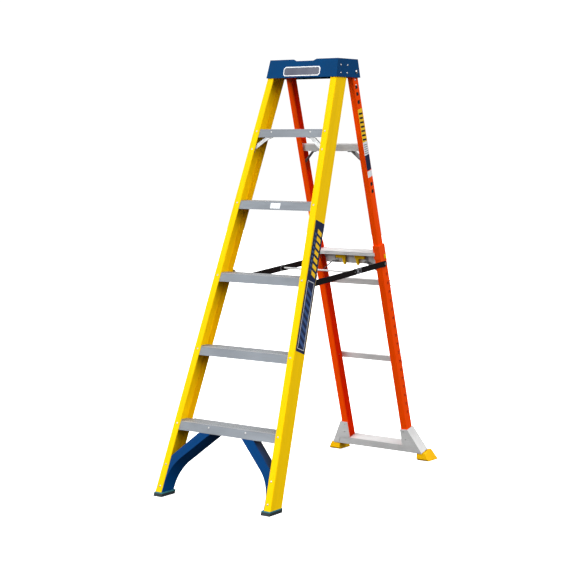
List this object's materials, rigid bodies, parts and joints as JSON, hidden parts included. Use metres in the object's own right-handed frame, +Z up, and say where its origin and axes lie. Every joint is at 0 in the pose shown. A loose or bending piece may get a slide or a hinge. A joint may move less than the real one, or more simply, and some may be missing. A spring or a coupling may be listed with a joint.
{
  "type": "step ladder",
  "caption": "Folding step ladder with flat grooved steps, a moulded top cap, channel side rails, two-link spreaders and a telescoping rear section with squeeze locks.",
  "frame": {"origin": "middle of the ladder's footprint, on the floor", "axes": "+Z up; +Y from the steps towards the rear section; +X to the right of someone who looks along +Y at the steps"},
  "size_m": [0.5816, 1.2882, 1.7463],
  "materials": {
    "cap_blue": "moulded, fine texture",
    "badge_white": "plain plate",
    "rivet_steel": "zinc plated",
    "yellow_fibreglass": "pultruded fibreglass, satin gloss",
    "orange_fibreglass": "pultruded fibreglass, satin gloss",
    "step_aluminium": "extruded, grooved tread",
    "bar_aluminium": "extruded, mill finish",
    "brace_steel": "zinc plated strap",
    "boot_blue": "moulded, satin",
    "pad_rubber": "ribbed sole",
    "bracket_orange": "powder coated",
    "foot_yellow": "moulded, ribbed sole",
    "latch_yellow": "moulded",
    "spreader_black": "satin black",
    "pin_steel": "plated"
  },
  "bodies": {
    "front_frame": {"top_cap": "cap_blue", "cap_badge": "badge_white", "cap_rivets": "rivet_steel", "hinge_bolts": "pin_steel", "front_rail_left": "yellow_fibreglass", "front_rail_right": "yellow_fibreglass", "step_1": "step_aluminium", "step_2": "step_aluminium", "step_3": "step_aluminium", "step_4": "step_aluminium", "step_5": "step_aluminium", "front_rivets": "rivet_steel", "top_brace_left": "brace_steel", "top_brace_right": "brace_steel", "foot_brace_left": "boot_blue", "foot_brace_right": "boot_blue", "foot_pad_left": "pad_rubber", "foot_pad_right": "pad_rubber", "spreader_bracket_left": "brace_steel", "spreader_bracket_right": "brace_steel", "front_pivot_pins": "pin_steel"},
    "rear_upper": {"upper_rail_left": "orange_fibreglass", "upper_rail_right": "orange_fibreglass", "upper_crossbar": "bar_aluminium", "upper_brace_left": "brace_steel", "upper_brace_right": "brace_steel", "handle_bar": "bar_aluminium", "handle_bracket_left": "brace_steel", "handle_bracket_right": "brace_steel", "handle_brace_left": "brace_steel", "handle_brace_right": "brace_steel", "slide_bracket_left": "bracket_orange", "slide_bracket_right": "bracket_orange", "pin_guide_left": "latch_yellow", "pin_guide_right": "latch_yellow", "upper_rivets": "rivet_steel", "rear_pivot_pins": "pin_steel"},
    "rear_lower": {"lower_rail_left": "orange_fibreglass", "lower_rail_right": "orange_fibreglass", "middle_crossbar": "bar_aluminium", "lower_crossbar": "bar_aluminium", "base_bar": "bar_aluminium", "base_gusset_left": "bar_aluminium", "base_gusset_right": "bar_aluminium", "rear_foot_left": "foot_yellow", "rear_foot_right": "foot_yellow", "lower_rivets": "rivet_steel"},
    "lock_left": {"latch_left": "latch_yellow", "lock_rod_left": "pin_steel"},
    "lock_right": {"latch_right": "latch_yellow", "lock_rod_right": "pin_steel"},
    "front_link_left": {"spreader_front_left": "spreader_black"},
    "front_link_right": {"spreader_front_right": "spreader_black"},
    "rear_links": {"spreader_rear_left": "spreader_black", "spreader_rear_right": "spreader_black", "spreader_crossbar": "pin_steel"}
  },
  "joints": [
    {"name": "rear_fold", "type": "hinge", "parent": "front_frame", "child": "rear_upper", "pos_m": [0, 0.10706, 1.695], "axis": [1, 0, 0], "range_deg": [-34, 0]},
    {"name": "rear_extend", "type": "slide", "parent": "rear_upper", "child": "rear_lower", "axis": [0, -0.276, 0.9612], "range_m": [0, 0.6096]},
    {"name": "latch_left_slide", "type": "slide", "parent": "rear_upper", "child": "lock_left", "axis": [1, 0, 0], "range_m": [0, 0.012], "stiffness_N_per_m": 800, "springref_m": -0.005},
    {"name": "latch_right_slide", "type": "slide", "parent": "rear_upper", "child": "lock_right", "axis": [-1, 0, 0], "range_m": [0, 0.012], "stiffness_N_per_m": 800, "springref_m": -0.005},
    {"name": "front_link_left_hinge", "type": "hinge", "parent": "front_frame", "child": "front_link_left", "pos_m": [-0.1855, -0.21394, 0.845], "axis": [1, 0, 0], "range_deg": [0, 68]},
    {"name": "front_link_right_hinge", "type": "hinge", "parent": "front_frame", "child": "front_link_right", "pos_m": [0.1855, -0.21394, 0.845], "axis": [1, 0, 0], "range_deg": [0, 68]},
    {"name": "rear_link_hinge", "type": "hinge", "parent": "rear_upper", "child": "rear_links", "pos_m": [0, 0.32506, 0.89], "axis": [1, 0, 0], "range_deg": [-70.5, 0]}
  ],
  "couplings": [
    {"joint": "front_link_left_hinge", "follows": "rear_fold", "ratio": -1.9972},
    {"joint": "front_link_right_hinge", "follows": "rear_fold", "ratio": -1.9972},
    {"joint": "rear_link_hinge", "follows": "rear_fold", "ratio": 2.0726}
  ]
}
